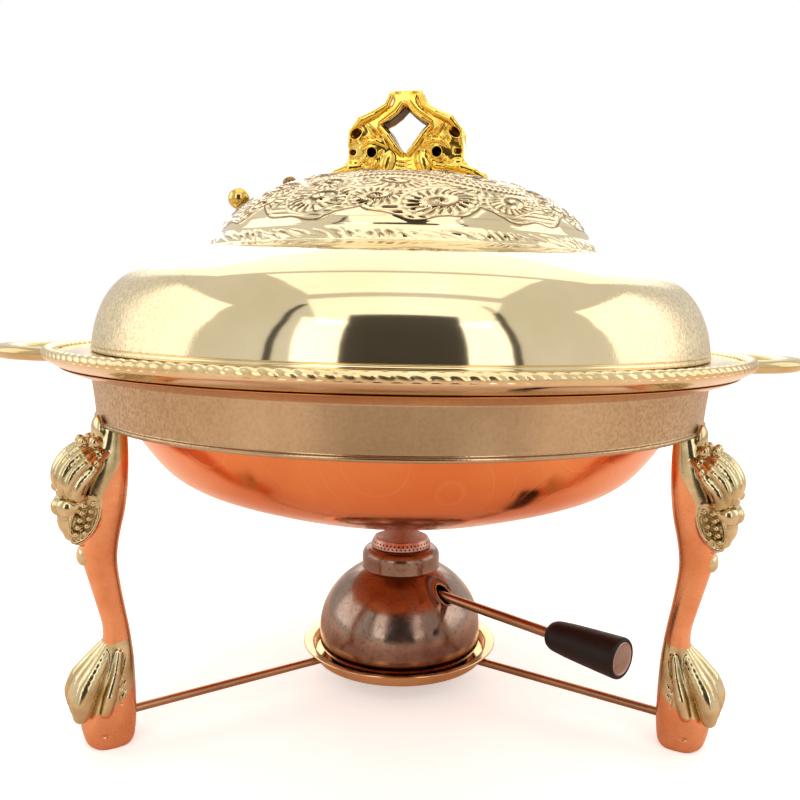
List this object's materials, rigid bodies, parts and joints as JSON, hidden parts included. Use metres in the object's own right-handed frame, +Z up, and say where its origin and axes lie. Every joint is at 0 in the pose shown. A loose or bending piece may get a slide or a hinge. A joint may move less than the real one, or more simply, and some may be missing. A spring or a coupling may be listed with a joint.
{
  "type": "covered serving kettle on a burner stand",
  "caption": "Round covered pan with two loop handles and a cast finial on a three-legged stand, heated by a spirit burner with a lever on a tray.",
  "frame": {"origin": "on the vertical axis of the pan, on the surface the feet stand on", "axes": "+Z up, +X through the right-hand pan handle, -Y towards the front"},
  "size_m": [0.444, 0.3676, 0.3241],
  "materials": {
    "gold_plate": "champagne gold plating on sheet steel, mirror polished",
    "copper_plate": "copper coloured plating, polished",
    "cast_leg": "cast metal, copper coloured shank with aged brass head and paw",
    "dark_copper": "dark copper rod",
    "rose_plate": "rose gold plating, mirror polished",
    "bright_gold": "bright gold plating on a casting",
    "brass": "polished brass",
    "bright_steel": "plain bright steel",
    "warm_steel": "polished stainless steel",
    "rose_steel": "heat-tinted stainless steel",
    "black_grip": "heat-resistant moulded grip",
    "cap_metal": "satin disc",
    "wick_cotton": "woven cotton"
  },
  "bodies": {
    "stand": {"stand_ring": "gold_plate", "seat_flange": "copper_plate", "leg_front_left": "cast_leg", "leg_front_right": "cast_leg", "leg_back": "cast_leg", "leg_brackets": "dark_copper", "leg_screws": "bright_steel", "rod_front_left": "dark_copper", "rod_front_right": "dark_copper", "rod_back": "dark_copper", "burner_tray": "rose_plate"},
    "pan": {"pan_bowl": "copper_plate", "rope_rim": "gold_plate", "handle_left": "gold_plate", "handle_right": "gold_plate"},
    "lid": {"lid_skirt": "gold_plate", "lid_shoulder": "gold_plate", "lid_crown": "gold_plate", "lid_locating_ring": "gold_plate", "finial": "bright_gold", "finial_washer": "bright_steel", "finial_screw": "bright_steel", "vent_pivot": "brass", "vent_washer": "bright_steel"},
    "vent_cover": {"vent_plate": "brass", "vent_knob": "bright_gold"},
    "burner": {"burner_tank": "warm_steel", "burner_base": "warm_steel", "burner_collar": "warm_steel", "burner_head": "rose_steel", "wick_guide": "warm_steel", "lever_bearing": "warm_steel"},
    "lever": {"lever_rod": "dark_copper", "pinion": "brass", "lever_grip": "black_grip", "grip_cap": "cap_metal"},
    "wick_carrier": {"wick_holder": "warm_steel", "wick_rack": "brass", "wick": "wick_cotton"}
  },
  "joints": [
    {"name": "pan_lift", "type": "slide", "parent": "stand", "child": "pan", "axis": [0, 0, 1], "range_m": [0, 0.12]},
    {"name": "lid_lift", "type": "slide", "parent": "pan", "child": "lid", "axis": [0, 0, 1], "range_m": [0, 0.12]},
    {"name": "vent_swivel", "type": "hinge", "parent": "lid", "child": "vent_cover", "pos_m": [-0.06239, 0.00877, 0.2723], "axis": [-0.3387, 0.0476, 0.9397], "range_deg": [0, 30]},
    {"name": "burner_lift", "type": "slide", "parent": "stand", "child": "burner", "axis": [0, 0, 1], "range_m": [0, 0.008]},
    {"name": "lever_turn", "type": "hinge", "parent": "burner", "child": "lever", "pos_m": [0.03473, -0.03597, 0.0541], "axis": [-0.6947, 0.7193, 0], "range_deg": [0, 154]},
    {"name": "wick_raise", "type": "slide", "parent": "burner", "child": "wick_carrier", "axis": [0, 0, 1], "range_m": [0, 0.008]}
  ],
  "couplings": [
    {"joint": "lever_turn", "follows": "wick_raise", "rad_per_m": 333.33}
  ]
}
